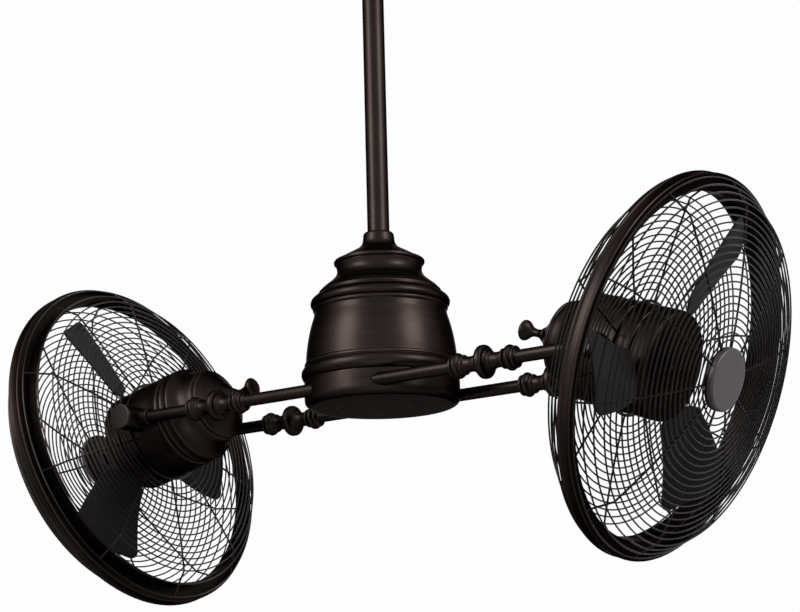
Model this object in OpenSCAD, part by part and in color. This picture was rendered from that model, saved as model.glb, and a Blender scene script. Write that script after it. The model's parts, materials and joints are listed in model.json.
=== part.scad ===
// Twin head ceiling fan: a downrod fan with a turning hub and two tilting caged heads.
// Millimetres, +Z up. The origin is the ceiling plane on the rod's axis.

/* [Ceiling] */
// Length of the downrod
rod_len = 457; // [250:1:900]
// Outside diameter of the downrod
rod_d = 26.7; // [20:0.1:34]
// Wall of the downrod
rod_wall = 2.8; // [2:0.1:4]
// Outside diameter of the canopy
canopy_d = 140; // [130:1:180]
// Height of the canopy
canopy_h = 82; // [78:1:110]
// Wall of the canopy
canopy_wall = 1.6; // [1:0.1:3]
// Diameter of the hanger ball
ball_d = 60; // [54:1:66]
// Distance between the outlet box screws
box_pitch = 88.9; // [70:0.1:96]
// Width of the outlet box slots
slot_w = 5; // [4:0.1:7]
// Length of the outlet box slots
slot_len = 14; // [8:0.5:18]

/* [Housing] */
// Largest radius of the bell's barrel
bell_r = 90.6; // [80:0.5:110]
// Wall of the cast shells
shell_wall = 2.5; // [1.5:0.1:4]
// Radius of the upper ring on the coupling cover
ring_r = 54.7; // [45:0.5:65]
// Radius of the cover's neck
neck_r = 19; // [17:0.1:24]
// Radius of the spindle in its bearings
spindle_r = 10; // [8:0.5:12]
// Radius of the wire bore through the spindle
wire_bore_r = 5; // [3.5:0.5:6]

/* [Hub] */
// Radius of the turning drum
drum_r = 92.5; // [84:0.5:112]
// Height of the drum
drum_h = 29.8; // [27:0.1:34]
// Wall of the drum
drum_wall = 4; // [3:0.5:6]
// Radius of the cap under the drum
cap_r = 48.5; // [40:0.5:56]
// Outside radius of the spindle bearings
bearing_r = 21; // [19:0.5:24]
// Width of the spindle bearings
bearing_w = 12; // [10:0.5:14]

/* [Arms] */
// Distance of the pivots from the rod's axis
pivot_x = 329; // [310:1:380]
// How far the pivot pads stand out of the motor shell
pad_proud = 2; // [1:0.1:6]
// Diameter of the plain arm
arm_d = 15; // [12:0.1:17]
// Radius of the small beads
small_bead_r = 14.2; // [11:0.1:16]
// Radius of the large bead
big_bead_r = 19.2; // [15:0.1:22]
// Distance of the large bead from the rod's axis
bead_x = 192.6; // [185:0.5:205]
// Distance from the large bead to each small bead
bead_gap = 35.5; // [32:0.5:40]
// Radius of the pivot socket
socket_r = 15.5; // [14:0.1:18]
// Radius of the pivot stud
stud_r = 5; // [4:0.1:6]

/* [Heads] */
// Tilt of the right head at rest, below level
tilt_right = 20.2; // [-80:0.1:80]
// Tilt of the left head at rest, below level
tilt_left = 14.4; // [-80:0.1:80]
// Radius of the motor's rear shell
motor_r = 60.8; // [56:0.1:62]
// Radius of the shell's front flange
flange_r = 69.5; // [68:0.1:74]
// Radius of the motor can
can_r = 61.5; // [58:0.1:63]
// Radius of the rotor shaft
shaft_r = 4; // [3:0.1:5]
// Gap between the stator and the rotor
air_gap = 0.5; // [0.4:0.05:1]

/* [Cage] */
// Outside radius of the cage band
band_r = 214.3; // [205:0.5:225]
// Width of the cage band
band_w = 18.5; // [14:0.5:24]
// Distance from the band's outside to the inside of the throat
throat_in = 21.3; // [18:0.1:30]
// Length of the throat
throat_w = 21.7; // [16:0.5:26]
// Thickness of the cage wire
wire_t = 2.2; // [1.8:0.1:3]
// Rings on the face of the front guard, shared out between the badge and the throat
front_rings = 20; // [10:1:24]
// Rings on the face of the rear guard, shared out between the motor and the throat
rear_rings = 15; // [8:1:18]
// Ribs of each guard
rib_count = 10; // [8:1:14]
// Radius of the centre badge
badge_r = 35; // [30:0.5:37]

/* [Blades] */
// Gap between the blade tips and the throat
tip_gap = 19.1; // [8:0.1:40]
// Half width of the blade at its tip
tip_hw = 45; // [36:0.5:50]
// Half width of the blade at its root
root_hw = 18; // [14:0.5:20]
// Thickness of the blade
blade_t = 2.2; // [1.6:0.1:3]
// Pitch of the blades
pitch = 17.3; // [12:0.1:22]
// Blade phase of the right head, seen from its front
phase_right = 67.6; // [0:0.1:120]
// Blade phase of the left head, seen from its front
phase_left = 64.2; // [0:0.1:120]

/* [Hidden] */
arm_r = arm_d / 2;
rod_r = rod_d / 2;
seat = 0.2;                       // gap between two seated faces
slip = 0.05;                      // running clearance of a shaft in its bore
rod_bottom = 126.3;               // rod's lower end above the arm axis
rod_top = rod_bottom + rod_len;
ball_z = rod_top - 8;             // centre of the hanger ball
seat_hole_r = ball_d / 2 - 5;     // hole under the ball
seat_top = ball_z - sqrt(pow(ball_d / 2, 2) - pow(seat_hole_r, 2)) + 5;
drop = ball_z + 48;               // ceiling above the arm axis
drum_top = 13.4;
drum_bottom = drum_top - drum_h;
bell_bottom = drum_top + 1;
bell_top = 118.9;
plate_top = bell_top - shell_wall - seat;
plate_t = 4;
bar_hx = bearing_r + 6;           // half width of the cast bar in the drum
low_bearing = -8;                 // lower face of the lower bearing
tube_top = 42;
neck_rod_r = arm_r + 1.7;         // finial neck around the arm
collar_wall = 3;                  // wall of the socket around the arm
pad_y = motor_r + pad_proud;      // end of the trunnion pad
socket_in = pad_y + 0.4;
arm_y = socket_in + arm_r + collar_wall;  // distance of the arms from the middle plane
socket_out = arm_y + arm_r + collar_wall;
stud_head_r = stud_r + 4;
stud_seat = sqrt(pow(motor_r - shell_wall, 2) - pow(stud_head_r, 2)) - 0.1;
flange_h = socket_r + 4.5;        // flange, just in front of the sockets
can_front = 57;
stator_r = can_r - shell_wall - seat;
rotor_r = 30.5;
band_mid = 64;
hub_h = 66.5;                     // blade plane along the head axis
side_rings = 4;
throat_r = band_r - throat_in;
tip_r = sqrt(pow(throat_r - tip_gap, 2) - pow(tip_hw, 2));
face_r = throat_r - 4;            // last face ring of the front guard
rear_r = face_r - 5;              // last face ring of the rear guard
collar_r = flange_r + 6.7;        // first face ring of the rear guard
front_step = (face_r - badge_r) / front_rings;
rear_step = (rear_r - collar_r) / (rear_rings - 1);
nose_h = 126.6;                   // front guard's centre along the head axis
nose_fall = 31.5;                 // how far the face falls back to the band
dish_h = 12.6;                    // how far the rear guard rises to the throat

function front_face(r) = nose_h - nose_fall * pow(r / (band_r - 4.3), 1.32);
function rear_face(r) = socket_r + 0.9 + dish_h * pow(r / (throat_r - 3), 2.5);
front_lip = band_mid + band_w / 2 + 1.6;
rear_lip = band_mid - band_w / 2 - 1.6;
// the side rings run from the last face ring of radius r0 to the band's lip
function side_r(i, r0) = r0 + (band_r - 4.6 - r0) * i / side_rings;
function front_side(i) = front_face(face_r) + (front_lip - front_face(face_r)) * i / side_rings;
function rear_side(i) = rear_face(rear_r) + (rear_lip - rear_face(rear_r)) * i / side_rings;

bronze = [0.13, 0.10, 0.09];
steel = [0.62, 0.63, 0.65];
dark = [0.10, 0.10, 0.11];
copper = [0.72, 0.45, 0.25];

// ---- helpers ----

// everything is drawn about the arm axis and hung from the ceiling here
module hang() translate([0, 0, -drop]) children();

module tube(r_out, r_in, z0, z1) {
  difference() {
    translate([0, 0, z0]) cylinder(r = r_out, h = z1 - z0, $fn = 96);
    translate([0, 0, z0 - 1]) cylinder(r = r_in, h = z1 - z0 + 2, $fn = 96);
  }
}

// turned solid: the outline p closes on the axis
module turned(p) {
  rotate_extrude($fn = 96)
    polygon(concat([[0, p[0][1]]], p, [[0, p[len(p) - 1][1]]]));
}

// half-round bead on a neck of radius base, as outline points from low to high
function bead(x, r, hw, base) =
  [for (t = [-90:22.5:90]) [base + (r - base) * cos(t), x + hw * sin(t)]];

module at_head(side) {
  tilt = side > 0 ? tilt_right : tilt_left;
  hang() translate([side * pivot_x, 0, 0]) rotate([0, side * (90 + tilt), 0]) children();
}

module both_y() { children(); mirror([0, 1, 0]) children(); }

// ---- ceiling end ----

module hanger_bracket() color(steel) hang() {
  tab_x = canopy_d / 2 - canopy_wall - 3.2;
  leg_x = ball_d / 2 + 8;
  difference() {
    union() {
      translate([-tab_x, -19, drop - 3]) cube([2 * tab_x, 38, 3]);
      for (s = [-1, 1]) {
        translate([s > 0 ? tab_x - 3 : -tab_x, -11, screw_z() - 7]) cube([3, 22, drop - screw_z() + 6]);
        translate([s > 0 ? leg_x - 3 : -leg_x, -13, seat_top - 5]) cube([3, 26, drop - seat_top + 4]);
      }
      translate([-leg_x, -13, seat_top - 5]) cube([2 * leg_x, 26, 5]);
      translate([0, 0, seat_top - 5]) cylinder(r = ball_d / 2 + 6, h = 5, $fn = 96);
    }
    translate([0, 0, ball_z]) sphere(r = ball_d / 2 + seat, $fn = 96);
    translate([0, 0, seat_top - 6]) cylinder(r = seat_hole_r, h = 8, $fn = 96);
    translate([0, 0, drop - 4]) cylinder(r = 11, h = 5, $fn = 64);
    for (s = [-1, 1]) translate([s * box_pitch / 2, 0, drop - 4]) {
      for (e = [-1, 1]) translate([e * (slot_len - slot_w) / 2, 0, 0])
        cylinder(d = slot_w, h = 5, $fn = 48);
      translate([-(slot_len - slot_w) / 2, -slot_w / 2, 0]) cube([slot_len - slot_w, slot_w, 5]);
    }
    for (s = [-1, 1]) translate([s * tab_x, 0, screw_z()]) rotate([0, 90, 0])
      cylinder(r = 2.1, h = 12, center = true, $fn = 32);
  }
}
function screw_z() = drop - 26;

module canopy() color(bronze) hang() {
  top = drop - 0.3;
  low = drop - canopy_h;
  r = canopy_d / 2;
  w = canopy_wall;
  p = [[r, top], [r, top - 34], [r - 1.5, top - 38], [r - 5, top - 42], [r - 8, top - 44],
    [r - 9, top - 50], [r - 12, top - 58], [r - 18, top - 66], [r - 29, top - 73]];
  difference() {
    turned(concat(p, [[rod_r + 14, low + 3.5], [rod_r + 8, low]]));
    turned(concat([[r - w, top + 1]], [for (i = [1:len(p) - 1]) [p[i][0] - w * 1.6, p[i][1] + w]],
      [[rod_r + 14, low + 4 + w]]));
    translate([0, 0, low - 1]) cylinder(r = rod_r + 0.4, h = 14, $fn = 96);
    for (s = [-1, 1]) translate([s * r, 0, screw_z()]) rotate([0, 90, 0])
      cylinder(r = 2.4, h = 12, center = true, $fn = 32);
  }
}

module canopy_screws() color(bronze) hang() for (s = [-1, 1])
  translate([s * canopy_d / 2, 0, screw_z()]) rotate([0, s * 90, 0]) {
    translate([0, 0, 0.1]) cylinder(r = 4, h = 2, $fn = 48);
    translate([0, 0, -10]) cylinder(r = 2, h = 10.2, $fn = 32);
  }

module hanger_ball() color(dark) hang() difference() {
  translate([0, 0, ball_z]) sphere(r = ball_d / 2, $fn = 96);
  translate([0, 0, rod_top + 4]) cylinder(r = ball_d, h = ball_d, $fn = 32);
  translate([0, 0, ball_z - ball_d / 2 - 1]) cylinder(r = rod_r + 0.1, h = ball_d + 2, $fn = 96);
  translate([0, 0, ball_z + 2]) rotate([90, 0, 0])
    cylinder(r = 3.1, h = ball_d + 2, center = true, $fn = 32);
}

module rod_pins() color(steel) hang() {
  translate([0, 0, ball_z + 2]) rotate([90, 0, 0])
    cylinder(r = 3, h = ball_d - 4, center = true, $fn = 32);
  translate([0, 0, rod_bottom + 24]) rotate([90, 0, 0])
    cylinder(r = 3, h = 46, center = true, $fn = 32);
}

module downrod() color(bronze) hang() difference() {
  translate([0, 0, rod_bottom]) cylinder(r = rod_r, h = rod_len, $fn = 96);
  translate([0, 0, rod_bottom - 1]) cylinder(r = rod_r - rod_wall, h = rod_len + 2, $fn = 96);
  for (z = [ball_z + 2, rod_bottom + 24]) translate([0, 0, z]) rotate([90, 0, 0])
    cylinder(r = 3.1, h = rod_d + 4, center = true, $fn = 32);
}

module supply_cable() color(dark) hang() {
  // runs down inside the rod beside its two pins
  translate([rod_r - rod_wall - 3.3, 0, rod_bottom - 1])
    cylinder(r = 2.8, h = rod_len + 24, $fn = 32);
}

// ---- fixed centre housing ----

module coupling() color(steel) hang() difference() {
  union() {
    translate([0, 0, plate_top + 0.1]) cylinder(r = 38, h = 5, $fn = 96);
    translate([0, 0, plate_top + 4]) cylinder(r = rod_r + 7.6, h = 50, $fn = 96);
  }
  translate([0, 0, rod_bottom - 0.2]) cylinder(r = rod_r + 0.1, h = 60, $fn = 96);
  translate([0, 0, plate_top - 1]) cylinder(r = spindle_r + 0.1, h = 20, $fn = 96);
  translate([0, 0, rod_bottom + 24]) rotate([90, 0, 0])
    cylinder(r = 3.1, h = 60, center = true, $fn = 32);
}

module coupling_cover() color(bronze) hang() {
  k = ring_r - 54.7;
  difference() {
    turned([[neck_r - 2.8, 197], [neck_r - 0.7, 195], [neck_r, 190], [neck_r + 0.7, 185],
      [neck_r + 2.4, 181.5], [neck_r + 6.6, 177], [33.5 + k, 172.7], [42 + k, 168],
      [49.5 + k, 163.7], [53.6 + k, 161.2], [ring_r, 159.2], [53.6 + k, 157.2]]);
    turned([[neck_r - 1, 175], [31 + k, 169.5], [39.5 + k, 165], [47 + k, 160.5],
      [50 + k, 158.5], [50 + k, 156]]);
    translate([0, 0, 150]) cylinder(r = rod_r + 0.3, h = 60, $fn = 96);
  }
}

module upper_dome() color(bronze) hang() {
  k = ring_r - 54.7;
  difference() {
    turned([[52.6 + k, 157], [51.2 + k, 152], [51 + k, 148], [52.4 + k, 143.5],
      [55.6 + k, 139], [60.5 + k, 134.6], [66, 130.5], [70.3, 126.5], [73, 122.5],
      [73.7, bell_top + seat]]);
    turned([[48.5 + k, 154.5], [48.5 + k, 148], [50 + k, 142], [53.2 + k, 137.5],
      [58 + k, 133], [63, 129], [67.3, 125], [70, 121.5], [70.6, bell_top - 1]]);
    translate([0, 0, 150]) cylinder(r = rod_r + 12, h = 20, $fn = 96);
  }
}

module bell_housing() color(bronze) hang() {
  b = bell_r - 90.6;
  difference() {
    turned([[74.5, bell_top], [77.6 + b, 117], [81 + b, 114], [83.2 + b, 110.8],
      [83.3 + b, 107.6], [82 + b, 104.5], [80.2 + b, 101], [79.4 + b, 97], [80 + b, 94],
      [81.7 + b, 89.5], [83.7 + b, 82], [85.7 + b, 73], [87.4 + b, 64], [88.9 + b, 54],
      [90 + b, 44], [bell_r, 34.4], [bell_r + 1.5, 31.8], [bell_r + 4, 28.2],
      [bell_r + 5.2, 23], [bell_r + 4.4, 18], [bell_r + 2, bell_bottom]]);
    turned([[76 + b, bell_top - shell_wall], [78.6 + b, 109], [76.8 + b, 100],
      [77 + b, 94], [81.2 + b, 81], [84.9 + b, 64], [87.5 + b, 44],
      [bell_r - shell_wall, 30], [bell_r - shell_wall, bell_bottom - 1]]);
    translate([0, 0, bell_top - 10]) cylinder(r = 60, h = 20, $fn = 96);
  }
}

module mounting_plate() color(steel) hang() difference() {
  translate([0, 0, plate_top - plate_t]) cylinder(r = bell_r - 18, h = plate_t, $fn = 96);
  translate([0, 0, plate_top - plate_t - 1]) cylinder(r = spindle_r + 0.1, h = plate_t + 2, $fn = 96);
}

module spindle() color(steel) hang() difference() {
  union() {
    translate([0, 0, low_bearing - 5.4]) cylinder(r = spindle_r, h = rod_bottom - low_bearing + 4, $fn = 96);
    translate([0, 0, plate_top - plate_t - 8.1]) cylinder(r = spindle_r + 6, h = 8, $fn = 96);
  }
  translate([0, 0, low_bearing - 7]) cylinder(r = wire_bore_r, h = rod_bottom + 30, $fn = 64);
}

module spindle_bearings() color(steel) hang() for (z = [low_bearing, tube_top - bearing_w])
  tube(bearing_r, spindle_r + slip, z, z + bearing_w);

module slip_ring() color(copper) hang() tube(bearing_r + 3, spindle_r + 1, tube_top + 0.1, tube_top + 18);

module brush_block() color(dark) hang() difference() {
  translate([bearing_r + 3.4, -8, tube_top + 2])
    cube([17, 16, plate_top - plate_t - tube_top - 2.1]);
  translate([bearing_r + 8, -5, tube_top + 20]) cube([8, 10, 30]);
}

module spindle_nut() color(steel) hang() difference() {
  translate([0, 0, low_bearing - 5.1]) cylinder(r = spindle_r + 6.5, h = 5, $fn = 6);
  translate([0, 0, low_bearing - 6]) cylinder(r = spindle_r + slip, h = 7, $fn = 96);
}

// ---- turning hub ----

module arm_hub() color(bronze) hang() difference() {
  union() {
    difference() {
      turned([[drum_r, drum_top], [drum_r, drum_bottom + 7], [drum_r - 1, drum_bottom + 4],
        [drum_r - 3.2, drum_bottom + 1.4], [drum_r - 6.5, drum_bottom]]);
      translate([0, 0, drum_bottom + drum_wall])
        cylinder(r = drum_r - drum_wall, h = drum_h, $fn = 96);
    }
    intersection() {
      union() {
        translate([-bar_hx, -drum_r, drum_bottom + drum_wall - 0.5])
          cube([2 * bar_hx, 2 * drum_r, drum_top - drum_bottom - drum_wall]);
        both_y() translate([-drum_r, arm_y - arm_r - 4, drum_bottom + 1])
          cube([2 * drum_r, 2 * arm_r + 8, drum_top - drum_bottom - 3]);
      }
      translate([0, 0, drum_bottom]) cylinder(r = drum_r - 1, h = drum_h, $fn = 96);
    }
    translate([0, 0, 0]) cylinder(r = bearing_r + 5, h = tube_top, $fn = 96);
  }
  // access opening with a ledge for the cap
  translate([0, 0, drum_bottom - 1]) cylinder(r = cap_r, h = 3.6, $fn = 96);
  translate([0, 0, drum_bottom - 1]) cylinder(r = cap_r - 4, h = drum_wall + 2, $fn = 96);
  // bearing seats
  translate([0, 0, drum_bottom - 1])
    cylinder(r = bearing_r, h = low_bearing + bearing_w - drum_bottom + 1, $fn = 96);
  translate([0, 0, -5]) cylinder(r = bearing_r - 4, h = 60, $fn = 96);
  translate([0, 0, tube_top - bearing_w]) cylinder(r = bearing_r, h = 30, $fn = 96);
  both_y() translate([0, arm_y, 0]) rotate([0, 90, 0])
    cylinder(r = arm_r + 0.1, h = 3 * drum_r, center = true, $fn = 64);
}

module hub_cap() color(bronze) hang() difference() {
  translate([0, 0, drum_bottom]) cylinder(r = cap_r - seat, h = 2.4, $fn = 96);
  for (s = [-1, 1]) translate([s * (cap_r - 2), 0, drum_bottom - 1]) cylinder(r = 2.2, h = 5, $fn = 32);
}

// one turned arm from the drum to the pivot socket, along +X
module arm() {
  low = bead_x - bead_gap;
  high = bead_x + bead_gap;
  p = concat([[arm_r, 20]],
    bead(low, small_bead_r, 8.4, arm_r), [[neck_rod_r, low + 12.5]],
    [[neck_rod_r, bead_x - 12]], bead(bead_x, big_bead_r, 8.6, neck_rod_r + 0.9),
    [[neck_rod_r, bead_x + 12], [neck_rod_r, high - 12.5]],
    bead(high, small_bead_r, 8.4, arm_r), [[arm_r, pivot_x - stud_r - 6]]);
  rotate([0, 90, 0]) turned(p);
}
module arm_front_left() color(bronze) hang() mirror([1, 0, 0]) translate([0, -arm_y, 0]) arm();
module arm_front_right() color(bronze) hang() translate([0, -arm_y, 0]) arm();
module arm_rear_left() color(bronze) hang() mirror([1, 0, 0]) translate([0, arm_y, 0]) arm();
module arm_rear_right() color(bronze) hang() translate([0, arm_y, 0]) arm();

module pivot_socket() difference() {
  union() {
    translate([0, socket_in, 0]) rotate([-90, 0, 0])
      cylinder(r = socket_r, h = socket_out - socket_in, $fn = 96);
    translate([0, arm_y, 0]) rotate([0, -90, 0])
      cylinder(r = arm_r + collar_wall, h = socket_r + 12, $fn = 64);
  }
  translate([0, socket_in - 1, 0]) rotate([-90, 0, 0]) cylinder(r = stud_r + slip, h = 40, $fn = 64);
  translate([0, socket_out - 5, 0]) rotate([-90, 0, 0]) cylinder(r = stud_r + 4, h = 6, $fn = 64);
  translate([-stud_r - 5.9, arm_y, 0]) rotate([0, -90, 0]) cylinder(r = arm_r + 0.1, h = 40, $fn = 64);
}
module socket_at(x, y) color(bronze) hang()
  translate([x * pivot_x, 0, 0]) mirror([x < 0 ? 1 : 0, 0, 0]) mirror([0, y < 0 ? 1 : 0, 0])
  pivot_socket();
module socket_front_left() socket_at(-1, -1);
module socket_front_right() socket_at(1, -1);
module socket_rear_left() socket_at(-1, 1);
module socket_rear_right() socket_at(1, 1);

module pivot_caps() color(bronze) hang() for (x = [-1, 1]) both_y()
  translate([x * pivot_x, socket_out, 0]) rotate([-90, 0, 0]) {
    translate([0, 0, 0.1]) cylinder(r = socket_r, h = 2.4, $fn = 96);
    translate([0, 0, -1.5]) cylinder(r = stud_r + 3.7, h = 1.7, $fn = 64);
  }

// ---- head: motor, drawn along its own axis from the pivot outward ----

module rear_shell() color(bronze) {
  m = motor_r;
  w = shell_wall;
  difference() {
    union() {
      turned([[flange_r - 1, flange_h + 3.4], [flange_r, flange_h + 1.5], [flange_r - 0.4, flange_h - 1],
        [flange_r - 3, flange_h - 3], [m + 1.6, flange_h - 4.2], [m, flange_h - 7], [m, -11],
        [m + 1.5, -13], [m + 1.7, -16], [m - 0.3, -18.6], [m - 0.8, -34],
        [m - 0.5, -37], [m - 2, -40.5], [m - 5.8, -44], [m - 9.3, -48.5], [m - 12, -54],
        [m - 14.2, -60], [m - 14.6, -64], [m - 12.8, -66.5], [m - 12.6, -69.5],
        [m - 14.6, -72.5], [m - 16.2, -76.5], [m - 19.8, -82], [m - 25.3, -87],
        [m - 31.3, -92], [m - 38.8, -97.5], [m - 46.8, -103], [10, -106.5]]);
      both_y() translate([0, m - 8, 0]) rotate([-90, 0, 0])
        cylinder(r = socket_r - 0.5, h = pad_y - m + 8, $fn = 64);
    }
    difference() {
      turned([[can_r + 0.3, flange_h + 5], [can_r + 0.3, 15], [m - w, 14], [m - w, -34],
        [m - 8.3, -41], [m - 14.5, -54], [m - 17, -64], [m - 17, -71], [m - 22.5, -82],
        [m - 41.5, -96], [8, -101]]);
      tube(m + 5, 11, -38, -34);
      tube(15, 11, -38, -29.5);
    }
    translate([0, 0, -110]) cylinder(r = 3.1, h = 20, $fn = 32);
    rotate([90, 0, 0]) cylinder(r = stud_r + 0.1, h = 3 * m, center = true, $fn = 64);
  }
}

module handle_knob() color(bronze) {
  turned([[8.6, -106.8], [8.8, -109], [6.6, -111.5], [4.7, -114.5], [4.6, -119],
    [5.2, -123.5], [7, -127.5], [10.2, -131], [11.9, -134], [12, -136.5], [10, -139],
    [6, -140]]);
  translate([0, 0, -107]) cylinder(r = 3, h = 12, $fn = 32);
}

module motor_can() color(bronze) {
  difference() {
    turned([[can_r - 3, can_front], [can_r - 0.9, can_front - 0.9], [can_r, can_front - 3],
      [can_r, 15.3]]);
    difference() {
      turned([[can_r - shell_wall, can_front - 3], [can_r - shell_wall, 14]]);
      tube(15, 11, can_front - 10, can_front);
    }
    translate([0, 0, can_front - 10.5]) cylinder(r = 11, h = 7.5, $fn = 64);
    translate([0, 0, can_front - 5]) cylinder(r = shaft_r + 3, h = 10, $fn = 64);
  }
}

module stator() color(copper) {
  tube(stator_r, rotor_r + air_gap, flange_h - 2, flange_h + 22);
  tube(stator_r - 8, rotor_r + 4, flange_h - 8, flange_h + 28);
}

module motor_bearings() color(steel) {
  tube(10.95, shaft_r + slip, can_front - 10.2, can_front - 3.2);
  tube(10.95, shaft_r + slip, -37, -30);
}

module pivot_studs() color(steel) both_y() rotate([-90, 0, 0]) {
  translate([0, 0, stud_seat - 6]) cylinder(r = stud_head_r, h = 6, $fn = 6);
  translate([0, 0, stud_seat - 1]) cylinder(r = stud_r, h = socket_out - stud_seat - 2.5, $fn = 64);
}

// ---- head: cage ----

module wire_ring(r, h) translate([0, 0, h]) rotate_extrude($fn = 96)
  translate([r - wire_t / 2, -wire_t / 2]) square(wire_t);

// straight rib piece from (r0, h0) to (r1, h1)
module bar(r0, h0, r1, h1) translate([r0, 0, h0]) rotate([0, -atan2(h1 - h0, r1 - r0), 0])
  translate([0, -wire_t / 2, -wire_t / 2]) cube([norm([r1 - r0, h1 - h0]), wire_t, wire_t]);

module guard_band() color(bronze) {
  tube(band_r, band_r - 1.6, band_mid - band_w / 2, band_mid + band_w / 2);
  for (e = [-1, 1]) tube(band_r, band_r - 3.4, band_mid + e * (band_w / 2 - 0.8) - 0.8,
    band_mid + e * (band_w / 2 - 0.8) + 0.8);
  tube(band_r - 1, throat_r + 0.6, band_mid - 1, band_mid + 0.6);
  tube(throat_r + 1.6, throat_r, band_mid - 19, band_mid - 19 + throat_w);
}

module front_guard() color(dark) {
  low = wire_t * 0.62;
  mid = (badge_r + face_r) / 2;
  for (i = [0:front_rings - 1]) wire_ring(face_r - i * front_step, front_face(face_r - i * front_step));
  for (i = [1:side_rings]) wire_ring(side_r(i, face_r), front_side(i));
  tube(badge_r, 8, front_face(badge_r) - low - 0.6, front_face(badge_r) + 0.9);
  for (k = [0:rib_count - 1]) rotate([0, 0, k * 360 / rib_count]) {
    bar(badge_r - 4, front_face(badge_r - 4) - low, mid, front_face(mid) - low);
    bar(mid - 1, front_face(mid - 1) - low, face_r + 1, front_face(face_r) - low);
    bar(face_r, front_face(face_r) - low, side_r(side_rings, face_r), front_lip - low);
  }
}

module rear_guard() color(dark) {
  low = wire_t * 0.62;
  mid = (collar_r + rear_r) / 2;
  for (i = [0:rear_rings - 1]) wire_ring(rear_r - i * rear_step, rear_face(rear_r - i * rear_step));
  for (i = [1:side_rings]) wire_ring(side_r(i, rear_r), rear_side(i));
  tube(collar_r + 0.8, flange_r + 0.4, rear_face(flange_r) - 0.4, rear_face(flange_r) + 1.4);
  for (k = [0:rib_count - 1]) rotate([0, 0, k * 360 / rib_count]) {
    bar(flange_r + 1, rear_face(flange_r) + low, mid, rear_face(mid) + low);
    bar(mid - 1, rear_face(mid - 1) + low, rear_r + 1, rear_face(rear_r) + low);
    bar(rear_r, rear_face(rear_r) + low, side_r(side_rings, rear_r), rear_lip + low);
  }
}

module badge() color(bronze) translate([0, 0, front_face(badge_r) + 1]) {
  turned([[badge_r - 2.4, 6.4], [badge_r - 0.6, 5.6], [badge_r, 4], [badge_r, 0]]);
}

// ---- head: turning set ----

module rotor() color(steel) {
  translate([0, 0, -39]) cylinder(r = shaft_r, h = 39 + hub_h + 11, $fn = 64);
  tube(rotor_r, shaft_r - 0.5, flange_h - 3, flange_h + 23);
}

module blade_frame(k) rotate([0, 0, k * 120]) translate([0, 0, hub_h]) rotate([pitch, 0, 0]) children();

module blade_hub() color(dark) difference() {
  union() {
    translate([0, 0, can_front + 2.6]) cylinder(r = 19, h = 5, $fn = 96);
    translate([0, 0, can_front + 2.6]) cylinder(r = 10, h = 16, $fn = 64);
    for (k = [0:2]) blade_frame(k) translate([10, -12, -blade_t / 2 - 3]) cube([36, 24, 3]);
  }
  translate([0, 0, can_front]) cylinder(r = shaft_r + 0.02, h = 40, $fn = 64);
  for (k = [0:2]) blade_frame(k) for (x = [30, 40]) translate([x, 0, -10]) cylinder(r = 2, h = 20, $fn = 32);
}

module blade(k) color(dark) blade_frame(k) difference() {
  translate([0, 0, -blade_t / 2]) linear_extrude(blade_t) polygon([[22, -12], [46, -12.5],
    [58, -root_hw], [tip_r - 6, -tip_hw + 0.8], [tip_r - 2, -tip_hw + 2.2], [tip_r, -tip_hw + 6],
    [tip_r, tip_hw - 6], [tip_r - 2, tip_hw - 2.2], [tip_r - 6, tip_hw - 0.8],
    [58, root_hw], [46, 12.5], [22, 12]]);
  for (x = [30, 40]) translate([x, 0, -10]) cylinder(r = 2, h = 20, $fn = 32);
}

module blade_screws() color(steel) for (k = [0:2]) blade_frame(k) for (x = [30, 40]) translate([x, 0, 0]) {
  translate([0, 0, blade_t / 2 + 0.02]) cylinder(r = 3.6, h = 2, $fn = 32);
  translate([0, 0, -blade_t / 2 - 4]) cylinder(r = 1.9, h = blade_t + 4.5, $fn = 32);
}

module spin(side) rotate([0, 0, side > 0 ? phase_right + 90 : phase_left - 90]) children();

module left_rear_shell() at_head(-1) rear_shell();
module left_handle_knob() at_head(-1) handle_knob();
module left_motor_can() at_head(-1) motor_can();
module left_stator() at_head(-1) stator();
module left_motor_bearings() at_head(-1) motor_bearings();
module left_rear_guard() at_head(-1) rear_guard();
module left_guard_band() at_head(-1) guard_band();
module left_front_guard() at_head(-1) front_guard();
module left_badge() at_head(-1) badge();
module left_pivot_studs() at_head(-1) pivot_studs();
module left_rotor() at_head(-1) spin(-1) rotor();
module left_blade_hub() at_head(-1) spin(-1) blade_hub();
module left_blade_1() at_head(-1) spin(-1) blade(0);
module left_blade_2() at_head(-1) spin(-1) blade(1);
module left_blade_3() at_head(-1) spin(-1) blade(2);
module left_blade_screws() at_head(-1) spin(-1) blade_screws();
module right_rear_shell() at_head(1) rear_shell();
module right_handle_knob() at_head(1) handle_knob();
module right_motor_can() at_head(1) motor_can();
module right_stator() at_head(1) stator();
module right_motor_bearings() at_head(1) motor_bearings();
module right_rear_guard() at_head(1) rear_guard();
module right_guard_band() at_head(1) guard_band();
module right_front_guard() at_head(1) front_guard();
module right_badge() at_head(1) badge();
module right_pivot_studs() at_head(1) pivot_studs();
module right_rotor() at_head(1) spin(1) rotor();
module right_blade_hub() at_head(1) spin(1) blade_hub();
module right_blade_1() at_head(1) spin(1) blade(0);
module right_blade_2() at_head(1) spin(1) blade(1);
module right_blade_3() at_head(1) spin(1) blade(2);
module right_blade_screws() at_head(1) spin(1) blade_screws();

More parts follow.
